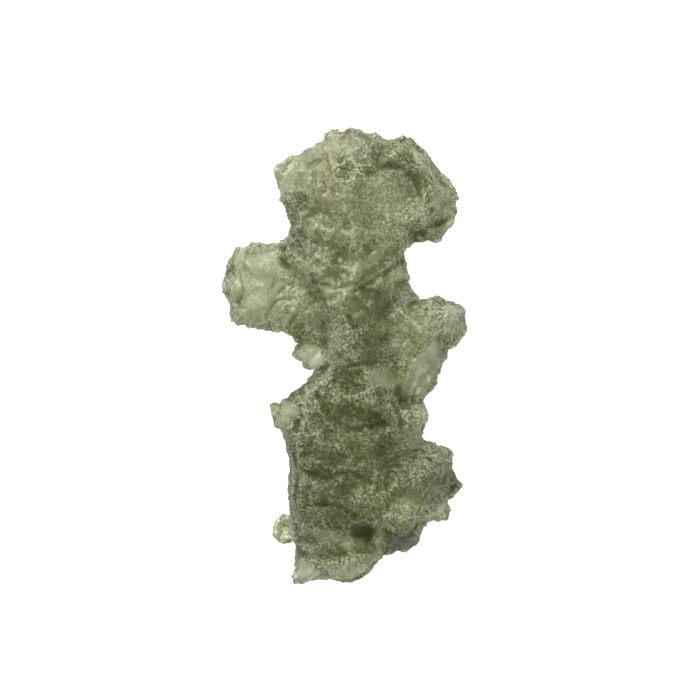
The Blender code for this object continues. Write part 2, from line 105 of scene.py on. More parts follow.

# Darker places painted into the skin's colour, each with its strength. Some follow darker zones of the glass;
# others are painted shade, as marked
DARK_AND_SHADED_PLACES = [
    (2.2, 3.2, 2.2, 1.7, 30, 0.65),
    (2.4, 6.1, 2.6, 0.35, 38, 0.5),
    (1.6, 0.6, 1.8, 1.4, 60, 0.7),
    (0.3, -1.2, 1.5, 1.9, 20, 0.6),
    (1.9, 4.2, 1.9, 0.6, 15, 0.9),
    # Painted shadow on the wall of the head's dish, this entry and the next
    (3.4, 13.1, 1.5, 0.5, -5, 0.9),
    (5.0, 12.5, 1.4, 0.55, -55, 1.0),
    (6.5, 9.0, 1.7, 0.5, 25, 0.3),
    (0.0, 6.4, 3.4, 1.2, 20, 0.3),
    (-0.2, -4.4, 2.4, 1.9, 10, 0.6),
    (1.9, -4.2, 2.2, 1.1, -20, 0.8),
    (-0.6, -8.2, 3.2, 5.0, 0, 0.75),
    (2.2, -6.6, 2.6, 2.6, 0, 0.6),
    (3.9, -7.6, 1.8, 1.0, 20, 0.5),
    (6.6, -8.6, 1.6, 2.2, -30, 0.6),
    (4.6, -9.6, 1.6, 2.0, -40, 0.35),
    (-2.6, -10.4, 1.4, 2.6, 0, 0.45),
    # Painted shade on the steep left flank of the body
    (-3.8, -8.3, 1.1, 5.0, 0, 0.5),
    (-3.5, -2.5, 2.1, 0.6, 35, 0.6),
    (-3.0, 7.2, 1.6, 0.9, -20, 0.5),
    (0.0, 9.0, 1.9, 0.7, 0, 0.35),
    (-4.0, -4.9, 1.2, 0.5, -35, 0.5),
    (7.0, -9.0, 1.0, 1.4, -45, 0.6),
    # Painted shade below the ridge of the tab, then in the bubble pit
    (-1.3, -13.7, 2.4, 0.5, 3, 1.0),
    (1.3, -12.2, 1.0, 1.0, 0, 2.4),
    (4.2, -12.7, 1.5, 1.1, 0, 1.2),
    (-7.9, 5.8, 0.4, 1.5, 0, 0.3),
    (0.2, -15.4, 1.9, 0.5, 10, 0.5),
]

# Cream clay and brown stains left in the pits; the cream colour also paints a white glint beside the bubble
CLAY_AND_GLINT_PLACES = [
    (-0.9, 14.5, 1.3, 1.2, 20),
    (-0.7, 13.4, 0.35, 0.9, 15),
    # Painted glint beside the bubble, in the clay colour
    (1.95, -13.45, 0.3, 0.25, 0),
    (2.75, 1.75, 0.2, 0.2, 0),
    (3.45, -3.7, 0.12, 0.22, 0),
    (5.05, -5.25, 0.25, 0.35, 0),
    (1.65, -8.75, 0.14, 0.14, 0),
]
RUST_PLACES = [
    (-0.5, 10.9, 1.0, 0.9, 20),
    (-0.9, 12.6, 0.4, 1.0, 20),
]

# Rounded knobs that stand out of the solid: their middle, with its height, and their half sizes
KNOBS = {
    "end of the nub": ((-3.05, -0.02, 2.2), (0.98, 0.66, 0.5)),
    "root of the nub": ((-2.2, -0.1, 2.35), (1.0, 0.85, 0.45)),
    "tip of the shoulder": ((-4.6, -3.55, 3.6), (0.62, 0.5, 0.5)),
}

# Places that curve down from the face without an edge: an ellipse, and the height above which they do
ROUNDED_FLANKS = [
    ((-3.6, -8.0, 1.3, 5.2, 0), 2.5),
    ((-3.2, -2.0, 2.4, 1.2, 40), 2.5),
    ((-0.9, 1.5, 1.2, 2.2, 15), 2.5),
    ((-3.4, -0.1, 0.9, 0.9, 0), 0.8),
]

# The flank whose upper edge is drawn out over its rim: its ellipse, the heights of its foot and of its upper
# edge, and how far that edge moves
STEEP_FLANK = ((-3.5, -8.2, 2.5, 5.4, 0), (3.2, 6.2), 0.9)

# Smooth hollows: an ellipse and a depth
HOLLOWS = {
    "crescent of the head": (-1.9, 13.1, 0.75, 0.35, 20, 0.3),
    "scar below the crescent": (-0.6, 13.0, 0.6, 0.5, 80, 0.2),
    "dark corner of the head": (0.3, 12.6, 0.7, 0.5, 20, 0.25),
    "groove below the head": (6.6, 9.2, 1.2, 0.3, 25, 0.35),
    "hollow under the neck's edge": (-3.9, 6.4, 0.65, 0.4, -35, 0.35),
    "cell of the arm": (-3.2, 2.4, 0.7, 0.55, 50, 0.22),
    "second cell of the arm": (-4.4, 2.4, 0.55, 0.5, 20, 0.22),
    "third cell of the arm": (-1.6, 1.7, 0.8, 0.5, 60, 0.25),
    "slit beside the neck": (-2.3, 4.4, 0.55, 0.22, -65, 0.35),
    "long scar": (5.55, -0.95, 2.0, 0.8, 62, 0.3),
    "short scar": (3.0, -1.5, 1.2, 0.5, 5, 0.35),
    "upper facet of the shoulder": (-3.8, -3.35, 0.6, 0.35, 15, 0.3),
    "middle facet of the shoulder": (-4.5, -3.8, 0.4, 0.25, -20, 0.25),
    "lower facet of the shoulder": (-4.15, -4.5, 0.5, 0.35, -25, 0.3),
    "groove of the body": (-2.3, -6.2, 0.9, 0.3, 70, 0.25),
    "bubble": (1.4, -12.3, 1.05, 0.95, 0, 0.45),
    "strip beside the bubble": (2.45, -12.8, 0.75, 0.25, 80, 0.35),
    "corner of the tab": (-2.8, -15.0, 0.7, 0.6, 20, 0.3),
}

# Ribs and grooves that run across the face: their points, their half width, and how far they stand up.
# A negative height is a groove.
STROKES = {
    "high groove of the arm": ([(-4.6, 4.2), (-3.9, 4.9), (-3.3, 5.1)], 0.2, -0.22),
    "low groove of the arm": ([(-5.4, 2.9), (-4.7, 3.7), (-4.0, 4.0)], 0.2, -0.22),
    "cross groove of the arm": ([(-5.4, 3.0), (-5.05, 2.0)], 0.18, -0.2),
    "last groove of the arm": ([(-4.0, 1.6), (-3.3, 2.8), (-2.5, 3.3)], 0.2, -0.22),
    "cut of the arm": ([(-7.4, 3.0), (-6.9, 4.6), (-7.3, 6.6)], 0.2, -0.1),
    "second cut of the arm": ([(-6.6, 7.4), (-6.9, 6.2), (-6.2, 5.6)], 0.18, -0.1),
    "groove beside the neck": ([(-4.3, 6.8), (-3.2, 5.4), (-2.9, 4.0)], 0.2, -0.2),
    "foot of the dish's wall": ([(1.8, 12.5), (3.2, 13.0), (4.2, 12.9), (5.1, 12.2), (5.4, 11.2)], 0.3, -0.3),
    "groove of the neck": ([(0.8, 4.4), (2.4, 5.4), (3.9, 6.5)], 0.2, -0.25),
    "cross groove of the neck": ([(-2.0, 5.2), (-0.6, 4.6), (0.8, 4.9), (2.2, 4.3)], 0.2, -0.22),
    "groove of the waist": ([(0.4, 2.6), (1.2, 1.2), (2.4, 0.6)], 0.24, -0.28),
    "second groove of the waist": ([(-0.6, 0.4), (0.6, -0.6), (2.2, -0.4)], 0.22, -0.25),
    "groove of the shoulder": ([(-4.7, -3.2), (-4.2, -3.7), (-3.6, -4.1), (-3.1, -4.5)], 0.2, -0.22),
    "low groove of the shoulder": ([(-5.0, -4.2), (-4.4, -4.1), (-3.9, -4.2)], 0.18, -0.22),
    "steep groove of the shoulder": ([(-3.4, -2.7), (-3.0, -3.4), (-2.8, -4.2), (-3.3, -5.0)], 0.26, -0.28),
    "groove below the ridge": ([(3.1, -7.2), (4.2, -6.7), (5.3, -6.5), (6.0, -7.1)], 0.2, -0.22),
    "groove above the ledge": ([(7.8, -9.0), (6.5, -10.0), (5.3, -11.0), (4.7, -12.3)], 0.22, -0.25),
    "rim of the bubble": ([(0.3, -12.6), (0.5, -11.7), (1.3, -11.2), (2.2, -11.5), (2.6, -12.2)], 0.18, 0.15),
    "upper edge of the nub": ([(-3.9, -0.3), (-2.9, 0.6), (-1.9, 0.9)], 0.2, -0.2),
    "furrow of the body": ([(-1.8, -2.6), (-0.9, -4.2), (0.4, -5.0), (1.8, -4.8)], 0.26, -0.3),
    "second furrow of the body": ([(-3.0, -7.6), (-1.4, -8.4), (0.4, -7.8), (1.8, -8.6)], 0.26, -0.28),
    "third furrow of the body": ([(-2.4, -10.2), (-0.6, -10.0), (0.8, -10.8)], 0.26, -0.28),
    "groove beside the body": ([(-3.3, -6.0), (-3.1, -8.4), (-3.2, -10.8)], 0.22, -0.25),
}

# Where the pits are drawn out: an ellipse, the direction that they run in, and how much longer they are
FLOWS = [
    ((1.5, 5.5, 4.0, 3.0, 20), 30, 2.2),
    ((5.5, 14.0, 3.5, 1.2, -40), -42, 2.0),
    ((4.0, -12.6, 1.8, 1.5, 0), 80, 2.4),
    ((6.6, -10.2, 2.0, 1.0, 40), 40, 2.6),
    ((-3.6, -9.0, 1.2, 4.0, 0), 85, 2.0),
    ((-1.0, -14.6, 3.2, 1.2, 5), 10, 1.8),
]

# The fan of fine ribs below the arm: its ellipse, the point that the ribs run out from, how many pits fit
# side by side in one radian, and how much longer than wide they are
FAN = ((4.6, -4.0, 1.5, 1.6, 0), (5.1, -5.9), 2.2, 5.0)

# How quickly the face, the upper side and the steep walls pass into each other as the skin tilts, and where
TILT_BLEND = 3.0
FACE_START = 0.6
UPPER_START = -1.0
WALL_BLEND = 1.6

# The soft noises over the skin: the size of their blobs in millimetres, and their seed
RAGGED_NOISE = (0.35, 3.0)
WAVY_NOISE = (1.1, 7.0)
LUMPY_NOISE = (2.3, 13.0)

# How far the edges of the smooth places and of the bands follow the wavy and the ragged noise
SMOOTH_WANDER = (0.3, 0.15)
BAND_WANDER = (0.5, 0.2)

# The ribs and grooves: how wide they are drawn against their half width, how far that wanders, how high they
# are with their least and their most, and how fully the grooves get painted shade
STROKE_WIDTH = 1.2
STROKE_WANDER = 0.5
STROKE_HEIGHT = (0.9, 0.3, 1.2)
GROOVE_FILL = 0.6

# How sharply the steepened and the rounded flanks end at the edge of their ellipse
STEEP_BLEND = 2.0
ROUNDED_BLEND = 2.5

# The pits. The share of lumps among them, the lumps' width against theirs, and the depth that is left where
# the glass is smooth. On a steep wall they are deeper by a share, with fewer lumps.
LUMP_SHARE = 0.65
LUMP_CONTRAST = 2.0
LUMP_WIDTH = 0.6
SMOOTH_DEPTH = 0.25
WALL_CHANGE = 0.8

# How far the pits are pushed out of their regular places and over which width, in millimetres, the fine pits'
# share of it, and the width of the unevenness between the pits
WARP = 0.6
WARP_WIDTH = 1.1
FINE_WARP = 0.6
UNEVEN_WIDTH = 0.7

# The hollows: how far their edges wander, and the power that gives them flat floors
HOLLOW_WANDER = 0.15
HOLLOW_ROUNDNESS = 0.6

# The limits of the marks, the paleness of the steep walls, and the painted shade in the grooves
DARKEST = 1.1
PALEST = 2.8
WALL_PALENESS = 0.35
GROOVE_SHADE = 0.7
STAIN_WANDER = 0.9
STAIN_STRENGTH = 0.6

# Rounds of softening that tell narrow and wide hollows from what lies around them, and how much deeper the
# wide ones have to be to take on as much painted shade
NEAR_ROUNDS = 8
WIDE_ROUNDS = 50
WIDE_RANGE = 3.0

# The painted shade of the hollows on a level skin, and how much the narrow and the wide hollows add to it
LEVEL_SHADE = 0.4
NEAR_SHADE = 0.5
WIDE_SHADE = 0.4

# How much of each shade, painted shade among them, a pale place takes away
PALE_SHARES = {"Pits": 0.25, "Hollow Shade": 1.0, "Bands and Shade": 1.0}

# The finest etching, drawn by the shader: how many of its small bowls, points and patches go into one of its
# bowls, how high the small bowls and the points stand against them, and the points' share of the shade. The
# rest of the shade is painted shade in the bowls' bottoms
SMALL_SCALE = 1.9
POINT_SCALE = 1.85
PATCH_SCALE = 0.35
SMALL_HEIGHT = 0.3
POINT_HEIGHT = 0.8
POINT_SHADE = 0.6

# The skin's colour by how much light is left on its way through it, from none to all. What is left counts the
# painted shade of the hollows, grooves, pits and some dark places, and the painted highlights of some pale
# places
LIGHT_LEFT = [
    (0.0, (0.025, 0.03, 0.01, 1.0)),
    (0.3, (0.17, 0.185, 0.09, 1.0)),
    (0.6, (0.49, 0.51, 0.34, 1.0)),
    (1.0, (0.95, 0.96, 0.87, 1.0)),
]


class StoneSettings(bpy.types.PropertyGroup):
    """Sizes and finish of the stone"""

    grain: bpy.props.FloatProperty(
        name="Mesh grain", description="Edge length of the stone's mesh", default=0.114 * MM, unit="LENGTH")
    triangles: bpy.props.IntProperty(
        name="Triangles", description="The most triangles that the stone keeps", default=194000)
    seed: bpy.props.IntProperty(
        name="Seed", description="Seed of how the pits are pushed out of their places", default=1, min=1)
    closing: bpy.props.FloatProperty(
        name="Closing", description="Half the width of the slits that are closed", default=0.15 * MM,
        unit="LENGTH")
    soften: bpy.props.IntProperty(
        name="Softening", description="Rounds of smoothing of the coarse solid", default=3)
    rounding: bpy.props.IntProperty(
        name="Rounding", description="Rounds of smoothing of the rounded flanks", default=110)
    pit_spacing: bpy.props.FloatProperty(
        name="Pit spacing", description="Width of the etched pits", default=1.1 * MM, unit="LENGTH")
    pit_depth: bpy.props.FloatProperty(
        name="Pit depth", description="Depth of the etched pits", default=0.13 * MM, unit="LENGTH")
    fine_spacing: bpy.props.FloatProperty(
        name="Fine pit spacing", description="Width of the fine pits", default=0.46 * MM, unit="LENGTH")
    fine_depth: bpy.props.FloatProperty(
        name="Fine pit depth", description="Depth of the fine pits", default=0.12 * MM, unit="LENGTH")
    standing: bpy.props.FloatProperty(
        name="Standing out", description="How far the crests stand out of the solid", default=0.14 * MM,
        unit="LENGTH")
    ragged_depth: bpy.props.FloatProperty(
        name="Raggedness", description="Depth of the unevenness between the pits", default=0.08 * MM,
        unit="LENGTH")
    grain_width: bpy.props.FloatProperty(
        name="Grain width", description="Width of the finest etching", default=0.32 * MM, unit="LENGTH")
    grain_depth: bpy.props.FloatProperty(
        name="Grain depth", description="Depth of the finest etching", default=0.11 * MM, unit="LENGTH")
    polish: bpy.props.FloatProperty(
        name="Smooth glass", description="Roughness of the smooth places", default=0.33)
    satin: bpy.props.FloatProperty(
        name="Etched glass", description="Roughness of the etched places", default=0.46)
    # Painted shade: how much the skin's colour is darkened in the hollows against the crests
    hollow: bpy.props.FloatProperty(
        name="Dark hollows", description="How much darker the hollows are than the crests", default=0.7)
    hollow_range: bpy.props.FloatProperty(
        name="Hollow shade range", description="Depth over which a hollow turns fully dark", default=0.12 * MM,
        unit="LENGTH")
    # How much the dark places darken the colour; some of them are painted shade
    band_and_shade: bpy.props.FloatProperty(
        name="Dark bands and painted shade", description="How much darker the dark bands and painted shade are", default=0.84)
    # How much the pale places lighten the colour; some of them are painted highlights
    pale: bpy.props.FloatProperty(
        name="Pale places", description="How much of the shading the pale places lose", default=0.85)
    # Painted shade in the bottoms of the fine pits, with random speckle
    shade: bpy.props.FloatProperty(
        name="Pit shade", description="How much darker the pits are than their crests", default=1.0)
    # The clay colour also paints a white glint beside the bubble
    clay_and_glint: bpy.props.FloatVectorProperty(
        name="Clay colour", description="Colour of the cream clay left in the pits",
        default=(0.97, 0.93, 0.68), size=3, subtype="COLOR")
    rust: bpy.props.FloatVectorProperty(
        name="Rust colour", description="Colour of the brown stain", default=(0.48, 0.42, 0.2), size=3,
        subtype="COLOR")
    glass: bpy.props.FloatVectorProperty(
        name="Glass colour", description="Light that is let through a reference depth of the glass",
        default=(0.45, 0.5, 0.19), size=3, subtype="COLOR")
    density: bpy.props.FloatProperty(
        name="Colour depth", description="How quickly the glass takes light away, per metre", default=155.0)
    refraction: bpy.props.FloatProperty(
        name="Refraction", description="Index of refraction of the glass", default=1.49)
    clearness: bpy.props.FloatProperty(
        name="Clearness", description="Share of the light that the frosted skin lets through", default=0.8)


class StageSettings(bpy.types.PropertyGroup):
    """The floor, the light and the camera"""

    floor: bpy.props.FloatVectorProperty(
        name="Floor colour", description="Colour of the pale floor", default=(0.6, 0.6, 0.6), size=3,
        subtype="COLOR")
    floor_width: bpy.props.FloatProperty(
        name="Floor width", description="Width of the floor", default=10.0, unit="LENGTH")
    floor_glow: bpy.props.FloatProperty(
        name="Floor glow", description="Light that comes up through the floor", default=0.95)
    light: bpy.props.FloatVectorProperty(
        name="Light colour", description="Colour of the room's light", default=(1.0, 1.0, 0.94),
        size=3, subtype="COLOR")
    lamp: bpy.props.FloatVectorProperty(
        name="Lamp colour", description="Colour of the lamps' light", default=(0.98, 0.98, 0.84), size=3,
        subtype="COLOR")
    sky: bpy.props.FloatProperty(name="Room light", description="Brightness of the room", default=0.3)
    key_power: bpy.props.FloatProperty(
        name="Key light", description="Power of the soft light behind the head", default=0.9, unit="POWER")
    lamp_width: bpy.props.FloatProperty(
        name="Lamp width", description="Width of both soft lights", default=0.14, unit="LENGTH")
    key_place: bpy.props.FloatVectorProperty(
        name="Key place", description="Where the key light stands", default=(-0.1, 0.19, 0.14), size=3,
        subtype="TRANSLATION", unit="LENGTH")
    fill_power: bpy.props.FloatProperty(
        name="Fill light", description="Power of the soft light opposite", default=0.12, unit="POWER")
    fill_place: bpy.props.FloatVectorProperty(
        name="Fill place", description="Where the fill light stands", default=(0.16, -0.08, 0.16), size=3,
        subtype="TRANSLATION", unit="LENGTH")
    lens: bpy.props.FloatProperty(
        name="Lens", description="Focal length of the camera, in millimetres", default=100.0)
    picture_width: bpy.props.FloatProperty(
        name="Picture width", description="Width of what the camera sees at the stone", default=48.48 * MM,
        unit="LENGTH")
    picture_centre: bpy.props.FloatVectorProperty(
        name="Picture centre", description="Point that the camera looks down on",
        default=(0.485 * MM, 0.416 * MM, 4.0 * MM), size=3, subtype="TRANSLATION", unit="LENGTH")


def only(item):
    """Makes the item the only one that is selected, and the active one."""
    bpy.ops.object.select_all(action="DESELECT")
    item.select_set(True)
    bpy.context.view_layer.objects.active = item


def read_places(mesh):
    """The places of the mesh's points, in millimetres, as a table."""
    places = np.empty(len(mesh.vertices) * 3)
    mesh.vertices.foreach_get("co", places)
    return places.reshape(-1, 3) / MM


def write_places(mesh, places):
    """Moves the mesh's points to the places of a table, in millimetres."""
    mesh.vertices.foreach_set("co", (places * MM).ravel())
    mesh.update()


def unit(vectors):
    """The vectors of a table, each made 1 long."""
    return vectors / np.maximum(np.linalg.norm(vectors, axis=1), TINY)[:, None]


def skin_normals(mesh, places):
    """Which way the skin faces at each point, added up in a fixed order so that each run gives the same."""
    points = np.empty(len(mesh.loops), dtype=int)
    starts = np.empty(len(mesh.polygons), dtype=int)
    sizes = np.empty(len(mesh.polygons), dtype=int)
    faces = np.empty(len(mesh.polygons) * 3)
    mesh.loops.foreach_get("vertex_index", points)
    mesh.polygons.foreach_get("loop_start", starts)
    mesh.polygons.foreach_get("loop_total", sizes)
    mesh.polygons.foreach_get("normal", faces)
    start, size = np.repeat(starts, sizes), np.repeat(sizes, sizes)
    corner = np.arange(len(points)) - start
    ahead = unit(places[points[start + (corner + 1) % size]] - places[points])
    behind = unit(places[points[start + (corner - 1) % size]] - places[points])
    angles = np.arccos(np.clip(np.sum(ahead * behind, axis=1), -1.0, 1.0))
    shares = np.repeat(faces.reshape(-1, 3), sizes, axis=0) * angles[:, None]
    return unit(np.stack([np.bincount(points, shares[:, axis], len(places)) for axis in range(3)], axis=1))


def in_ellipse(places, ellipse):
    """1 in the middle of an ellipse, 0 on its edge and below 0 outside it, for a table of places."""
    x, y, half_length, half_width, turn = ellipse
    angle = math.radians(turn)
    across, along = places[:, 0] - x, places[:, 1] - y
    u = (across * math.cos(angle) + along * math.sin(angle)) / half_length
    v = (along * math.cos(angle) - across * math.sin(angle)) / half_width
    return 1.0 - u * u - v * v


def on_stroke(places, points, half_width):
    """1 on a line through the points, falling to 0 at its half width, for a table of places."""
    nearest = np.full(len(places), np.inf)
    for start, end in zip(points, points[1:]):
        start, step = np.array(start), np.subtract(end, start)
        away = places[:, :2] - start
        share = np.clip(np.sum(away * step, axis=1) / np.sum(step * step), 0.0, 1.0)
        nearest = np.minimum(nearest, np.linalg.norm(away - share[:, None] * step, axis=1))
    return np.clip(1.0 - nearest / half_width, 0.0, 1.0)


def strongest(places, ellipses, wander, sharpness):
    """The strength of the strongest ellipse over each place, falling to 0 across its ragged edge."""
    best = np.zeros(len(places))
    for *ellipse, strength in ellipses:
        inside = np.clip((in_ellipse(places, ellipse) + wander) * sharpness, 0.0, 1.0)
        best = np.maximum(best, strength * inside)
    return best


def bowls(place, spacing):
    """1 in the middle of each bowl-shaped pit of a field of them, 0 on the crests between."""
    nearest, second = noise.voronoi(place / spacing)[0][:2]
    share = nearest / max(nearest + second, TINY) * 2.0
    return 1.0 - share * share


def skin_noise(places, size, seed):
    """A soft noise between about -1 and 1 at each place, its blobs about the given size."""
    shift = Vector((seed, 0.0, 0.0))
    return np.array([noise.noise(Vector(place) / size + shift) for place in places])


def softened(mesh, places, rounds):
    """The places of the mesh's points, each moved to the middle of its neighbours a number of times."""
    ends = np.empty(len(mesh.edges) * 2, dtype=int)
    mesh.edges.foreach_get("vertices", ends)
    first, second = ends.reshape(-1, 2).T
    many = len(places)
    neighbours = np.bincount(ends, minlength=many)
    columns = []
    for values in places.T:
        for _ in range(rounds):
            total = np.bincount(first, values[second], many) + np.bincount(second, values[first], many)
            values = total / neighbours
        columns.append(values)
    return np.stack(columns, axis=1)


def depth_below(mesh, places, normals, rounds):
    """How far each point lies below the middle of its surroundings. Crests are negative."""
    return np.sum((softened(mesh, places, rounds) - places) * normals, axis=1)


def add_knobs(piece):
    """Joins the rounded knobs to the piece."""
    for middle, half_sizes in KNOBS.values():
        bpy.ops.mesh.primitive_uv_sphere_add(
            segments=32, ring_count=16, radius=MM, location=Vector(middle) * MM, scale=half_sizes)
        bpy.ops.object.transform_apply(location=True, rotation=False, scale=True)
        piece.select_set(True)
        bpy.context.view_layer.objects.active = piece
        bpy.ops.object.join()
        only(piece)


def remesh(piece, grain):
    """Rebuilds the piece as one closed skin of small faces."""
    fine = piece.modifiers.new("fine mesh", "REMESH")
    fine.mode = "VOXEL"
    fine.voxel_size = grain
    bpy.ops.object.modifier_apply(modifier=fine.name)


def swell(piece, distance):
    """Moves the piece's skin outwards, or inwards by a negative distance."""
    places = read_places(piece.data)
    write_places(piece.data, places + skin_normals(piece.data, places) * distance / MM)


def steepen_flank(mesh):
    """Draws the upper edge of the left flank outwards, so that the face reaches the outline there."""
    places = read_places(mesh)
    ellipse, (foot, edge), reach = STEEP_FLANK
    climb = np.clip((places[:, 2] - foot) / (edge - foot), 0.0, 1.0)
    places[:, 0] -= reach * climb * np.clip(in_ellipse(places, ellipse) * STEEP_BLEND, 0.0, 1.0)
    write_places(mesh, places)


def round_flanks(mesh, rounds):
    """Rounds off the edges between the face and some of its flanks."""
    places = read_places(mesh)
    share = np.zeros(len(places))
    for ellipse, lowest in ROUNDED_FLANKS:
        inside = np.clip(in_ellipse(places, ellipse) * ROUNDED_BLEND, 0.0, 1.0)
        share = np.maximum(share, inside * (places[:, 2] > lowest))
    places += (softened(mesh, places, rounds) - places) * share[:, None]
    write_places(mesh, places)


def coarse_copy(node, settings):
    """A copy of the solid with its slits closed, remeshed finely and softened, as a new piece."""
    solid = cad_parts[node]
    piece = bpy.data.objects.new("etched_glass", solid.data.copy())
    bpy.context.scene.collection.objects.link(piece)
    only(piece)
    bpy.ops.object.mode_set(mode="EDIT")
    bpy.ops.mesh.select_all(action="SELECT")
    bpy.ops.mesh.remove_doubles(threshold=MERGE_DISTANCE)
    bpy.ops.object.mode_set(mode="OBJECT")
    add_knobs(piece)
    for distance in (settings.closing, -settings.closing):
        swell(piece, distance)
        remesh(piece, settings.grain)
    steepen_flank(piece.data)
    soften = piece.modifiers.new("soften", "SMOOTH")
    soften.factor = 0.5
    soften.iterations = settings.soften
    bpy.ops.object.modifier_apply(modifier=soften.name)
    round_flanks(piece.data, settings.rounding)
    return piece


def drawn_out(places):
    """The places, turned and squeezed where the pits are drawn out, so that round pits become long ones."""
    stretched = places.copy()
    for ellipse, direction, length in FLOWS:
        inside = in_ellipse(places, ellipse) > 0.0
        angle = math.radians(direction)
        x, y = places[inside, 0], places[inside, 1]
        stretched[inside, 0] = (x * math.cos(angle) + y * math.sin(angle)) / length
        stretched[inside, 1] = y * math.cos(angle) - x * math.sin(angle)
    ellipse, (x, y), spread, length = FAN
    inside = in_ellipse(places, ellipse) > 0.0
    across, along = places[inside, 0] - x, places[inside, 1] - y
    stretched[inside, 0] = np.arctan2(along, across) * spread
    stretched[inside, 1] = np.hypot(across, along) / length
    return stretched


def stroke_heights(places, wavy, ragged):
    """How far the ribs and grooves stand up at each place, and how fully it lies in a groove, from 0 to 1,
    which sets the painted shade in the grooves.
    """
    lift, groove_shade_mask = np.zeros(len(places)), np.zeros(len(places))
    width = STROKE_WIDTH + STROKE_WANDER * wavy + STROKE_WANDER * ragged
    middle, least, most = STROKE_HEIGHT
    for points, half_width, height in STROKES.values():
        line = on_stroke(places, points, half_width * width)
        lift += height * line * line * (3.0 - 2.0 * line) * np.clip(middle + wavy, least, most)
        if height < 0.0:
            groove_shade_mask = np.maximum(groove_shade_mask, line * line * np.clip(GROOVE_FILL + ragged, 0.0, 1.0))
    return lift, groove_shade_mask


def hollow_depths(places, wavy):
    """How deep the smooth hollows are at each place."""
    sink = np.zeros(len(places))
    for *ellipse, deep in HOLLOWS.values():
        inside = np.clip(in_ellipse(places, ellipse) + wavy * HOLLOW_WANDER, 0.0, 1.0)
        sink = np.maximum(sink, deep * inside**HOLLOW_ROUNDNESS)
    return sink


def pit_depths(places, settings, sides, rough):
    """How deep the pits, the fine pits and the unevenness between them cut in at each place."""
    depth, fine_depth = settings.pit_depth / MM, settings.fine_depth / MM
    spacing, fine = settings.pit_spacing / MM, settings.fine_spacing / MM
    ragged_depth = settings.ragged_depth / MM
    lumpy = np.clip(LUMP_SHARE + LUMP_CONTRAST * skin_noise(places, *LUMPY_NOISE), 0.0, 1.0)
    lumpy *= 1.0 - WALL_CHANGE * sides["steep"]
    noise.seed_set(settings.seed)
    etched = (SMOOTH_DEPTH + (1.0 - SMOOTH_DEPTH) * rough) * (1.0 + WALL_CHANGE * sides["steep"])
    cut = np.empty(len(places))
    for number, (round_place, long_place) in enumerate(zip(places, drawn_out(places))):
        warp = noise.noise_vector(Vector(round_place) / WARP_WIDTH) * WARP
        place = Vector(long_place)
        pit, lump = bowls(place + warp, spacing), 1.0 - bowls(place - warp, LUMP_WIDTH * spacing)
        uneven = noise.fractal(place / UNEVEN_WIDTH, 1.0, 2.0, 3)
        cut[number] = depth * (pit * (1.0 - lumpy[number]) + lump * lumpy[number]) * etched[number]
        cut[number] += fine_depth * (1.0 - bowls(place + warp * FINE_WARP, fine)) * rough[number]
        cut[number] += ragged_depth * uneven * etched[number]
    return cut - settings.standing / MM * sides["upper"]


def skin_marks(places, sides, groove_shade_mask, wavy, ragged):
    """Where the skin is rough, dark, pale or stained, as named values for its points, with painted shade
    among the dark values and painted highlights among the pale ones and the stains.
    """
    face, upper, steep = sides["face"], sides["upper"], sides["steep"]
    smooth_places = [(*ellipse, smooth) for *ellipse, smooth, _ in SMOOTH_PLACES]
    pale_places = [(*ellipse, pale) for *ellipse, _, pale in SMOOTH_PLACES]
    wander = wavy * SMOOTH_WANDER[0] + ragged * SMOOTH_WANDER[1]
    band_wander = wavy * BAND_WANDER[0] + ragged * BAND_WANDER[1]
    dark = np.minimum(strongest(places, DARK_AND_SHADED_PLACES, band_wander, 1.0), DARKEST) * upper
    pale = strongest(places, pale_places, wander * 2.0, 1.0) * upper
    pale = np.clip(pale, steep * WALL_PALENESS * (1.0 - np.minimum(dark, 1.0)), PALEST)
    marks = {
        "rough": 1.0 - strongest(places, smooth_places, wander, 2.0) * face,
        # Painted shade in the grooves joins the dark places and is taken out of the paleness
        "dark": np.maximum(dark, GROOVE_SHADE * groove_shade_mask * face),
        "pale": pale * (1.0 - GROOVE_SHADE * groove_shade_mask * face),
    }
    for name, ellipses in (("clay_and_glint", CLAY_AND_GLINT_PLACES), ("rust", RUST_PLACES)):
        stains = [(*ellipse, STAIN_STRENGTH) for ellipse in ellipses]
        marks[name] = strongest(places, stains, ragged * STAIN_WANDER, 1.0) * face
    return marks


def etch(piece, settings):
    """Carves the hollows, ribs and pits into the skin, and notes where it is rough, dark, pale or stained,
    and where painted shade falls in its hollows.
    """
    mesh = piece.data
    places = read_places(mesh)
    normals = skin_normals(mesh, places)
    rise = normals[:, 2]
    sides = {
        "face": np.clip(rise * TILT_BLEND - FACE_START, 0.0, 1.0),
        "upper": np.clip(rise * TILT_BLEND - UPPER_START, 0.0, 1.0),
        "steep": 1.0 - np.clip(np.abs(rise) * WALL_BLEND, 0.0, 1.0),
    }
    ragged, wavy = skin_noise(places, *RAGGED_NOISE), skin_noise(places, *WAVY_NOISE)
    lift, groove_shade_mask = stroke_heights(places, wavy, ragged)
    sink = hollow_depths(places, wavy)
    marks = skin_marks(places, sides, groove_shade_mask, wavy, ragged)
    places -= normals * pit_depths(places, settings, sides, marks["rough"])[:, None]
    places[:, 2] += (lift - sink) * sides["face"]
    places[:, 2] = np.maximum(places[:, 2], 0.0)
    # Painted shade: the colour darkens where the skin lies below its surroundings and stays light on the
    # crests
    deep = settings.hollow_range / MM
    near = depth_below(mesh, places, normals, NEAR_ROUNDS) / deep
    wide = depth_below(mesh, places, normals, WIDE_ROUNDS) / (deep * WIDE_RANGE)
    marks["hollow"] = np.clip(LEVEL_SHADE + NEAR_SHADE * near + WIDE_SHADE * wide, 0.0, 1.0)
    for name, values in marks.items():
        mesh.attributes.new(name, "FLOAT", "POINT").data.foreach_set("value", values)
    write_places(mesh, places)


